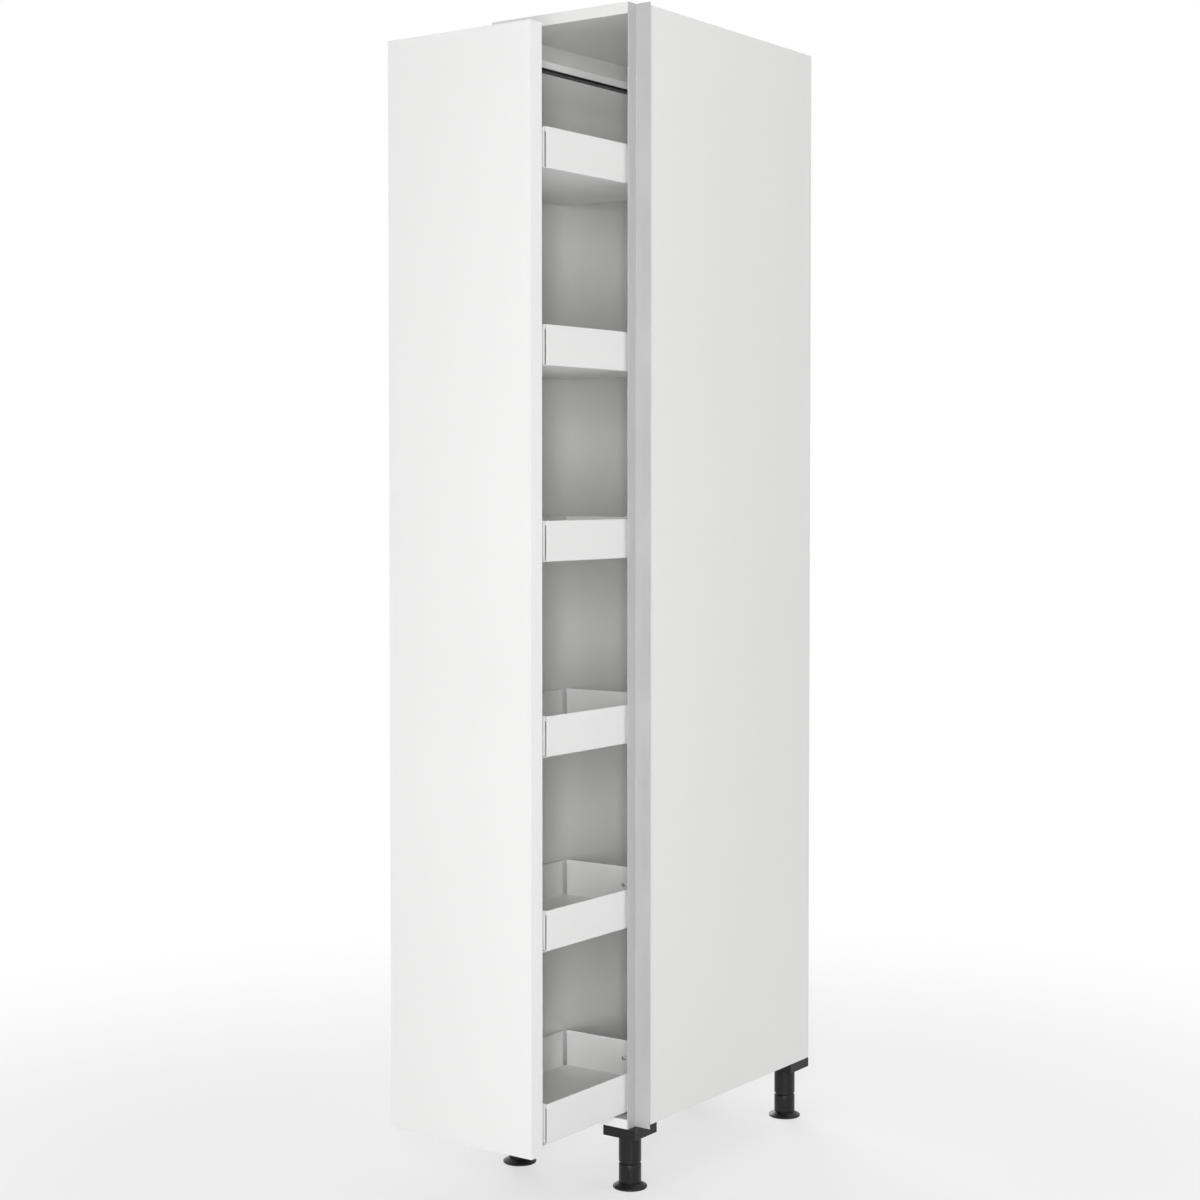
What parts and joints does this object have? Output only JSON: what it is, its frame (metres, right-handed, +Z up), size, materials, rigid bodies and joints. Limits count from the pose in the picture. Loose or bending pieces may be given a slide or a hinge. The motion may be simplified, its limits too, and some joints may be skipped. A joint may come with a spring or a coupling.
{
  "type": "pull-out larder unit",
  "caption": "Narrow tall kitchen unit on adjustable legs, with a full-height handleless pull-out front, shallow trays on telescopic runners and a recessed grip profile.",
  "frame": {"origin": "floor level under the middle of the bounding box, with the pull-out part way open", "axes": "+Z up, -Y out of the front, +X to the right seen from the front; metres"},
  "size_m": [0.314, 0.849, 1.98],
  "materials": {
    "carcass_white": "matt white melamine-faced board",
    "front_white": "satin white lacquer",
    "recess_grey": "matt light grey coated profile",
    "tray_white": "white powder coat",
    "frame_white": "white powder coat",
    "zinc_steel": "bright zinc plated",
    "ball_chrome": "polished bearing steel",
    "black_plastic": "moulded black plastic, fine grain",
    "dowel_wood": "raw beech",
    "bumper_rubber": "soft translucent"
  },
  "bodies": {
    "root": {"side_left": "carcass_white", "side_right": "carcass_white", "top_panel": "carcass_white", "bottom_panel": "carcass_white", "back_panel": "carcass_white", "fixing_rail": "carcass_white", "grip_profile": "recess_grey", "carcass_dowels": "dowel_wood", "shut_bumpers": "bumper_rubber", "leg_plates": "black_plastic", "leg_tubes": "black_plastic", "leg_screws": "zinc_steel", "runner_cabinet_left": "zinc_steel", "runner_cabinet_right": "zinc_steel", "runner_screws": "zinc_steel", "open_stop": "black_plastic", "guide_hangers": "zinc_steel", "guide_bar": "zinc_steel", "guide_screws": "zinc_steel"},
    "pullout": {"runner_inner_left": "zinc_steel", "runner_inner_right": "zinc_steel", "top_beam": "frame_white", "beam_strip": "black_plastic", "beam_angles": "zinc_steel", "base_plate": "frame_white", "frame_rivets": "zinc_steel", "front_upright_left": "frame_white", "front_upright_right": "frame_white", "front_crossbar": "frame_white", "rear_upright": "frame_white", "front_panel": "front_white", "front_screws": "zinc_steel", "tray_1_base": "tray_white", "tray_2_base": "tray_white", "tray_3_base": "tray_white", "tray_4_base": "tray_white", "tray_5_base": "tray_white", "tray_6_base": "tray_white", "tray_1_walls": "tray_white", "tray_2_walls": "tray_white", "tray_3_walls": "tray_white", "tray_4_walls": "tray_white", "tray_5_walls": "tray_white", "tray_6_walls": "tray_white", "tray_spacers": "frame_white", "tray_screws": "zinc_steel", "rear_plates": "tray_white", "rear_arms": "frame_white", "rear_screws": "zinc_steel"},
    "runner_middle_left": {"runner_middle_left": "zinc_steel"},
    "runner_middle_right": {"runner_middle_right": "zinc_steel"},
    "first_ball_cages": {"ball_cages_first": "zinc_steel", "balls_first": "ball_chrome"},
    "second_ball_cages": {"ball_cages_second": "zinc_steel", "balls_second": "ball_chrome"},
    "guide_middle": {"guide_middle": "zinc_steel"},
    "foot_front_left": {"foot_front_left": "black_plastic"},
    "foot_front_right": {"foot_front_right": "black_plastic"},
    "foot_back_left": {"foot_back_left": "black_plastic"},
    "foot_back_right": {"foot_back_right": "black_plastic"}
  },
  "joints": [
    {"name": "pullout_slide", "type": "slide", "parent": "root", "child": "pullout", "axis": [0, -1, 0], "range_m": [-0.243, 0.19]},
    {"name": "runner_middle_left_slide", "type": "slide", "parent": "root", "child": "runner_middle_left", "axis": [0, -1, 0], "range_m": [-0.1216, 0.0951]},
    {"name": "runner_middle_right_slide", "type": "slide", "parent": "root", "child": "runner_middle_right", "axis": [0, -1, 0], "range_m": [-0.1216, 0.0951]},
    {"name": "first_ball_cages_slide", "type": "slide", "parent": "root", "child": "first_ball_cages", "axis": [0, -1, 0], "range_m": [-0.06085, 0.0476]},
    {"name": "second_ball_cages_slide", "type": "slide", "parent": "root", "child": "second_ball_cages", "axis": [0, -1, 0], "range_m": [-0.18235, 0.1426]},
    {"name": "guide_middle_slide", "type": "slide", "parent": "root", "child": "guide_middle", "axis": [0, -1, 0], "range_m": [-0.1216, 0.0951]},
    {"name": "foot_front_left_adjust", "type": "slide", "parent": "root", "child": "foot_front_left", "axis": [0, 0, -1], "range_m": [0, 0.02]},
    {"name": "foot_front_right_adjust", "type": "slide", "parent": "root", "child": "foot_front_right", "axis": [0, 0, -1], "range_m": [0, 0.02]},
    {"name": "foot_back_left_adjust", "type": "slide", "parent": "root", "child": "foot_back_left", "axis": [0, 0, -1], "range_m": [0, 0.02]},
    {"name": "foot_back_right_adjust", "type": "slide", "parent": "root", "child": "foot_back_right", "axis": [0, 0, -1], "range_m": [0, 0.02]}
  ],
  "couplings": [
    {"joint": "runner_middle_left_slide", "follows": "pullout_slide", "ratio": 0.5},
    {"joint": "runner_middle_right_slide", "follows": "pullout_slide", "ratio": 0.5},
    {"joint": "first_ball_cages_slide", "follows": "pullout_slide", "ratio": 0.25},
    {"joint": "second_ball_cages_slide", "follows": "pullout_slide", "ratio": 0.75},
    {"joint": "guide_middle_slide", "follows": "pullout_slide", "ratio": 0.5}
  ]
}
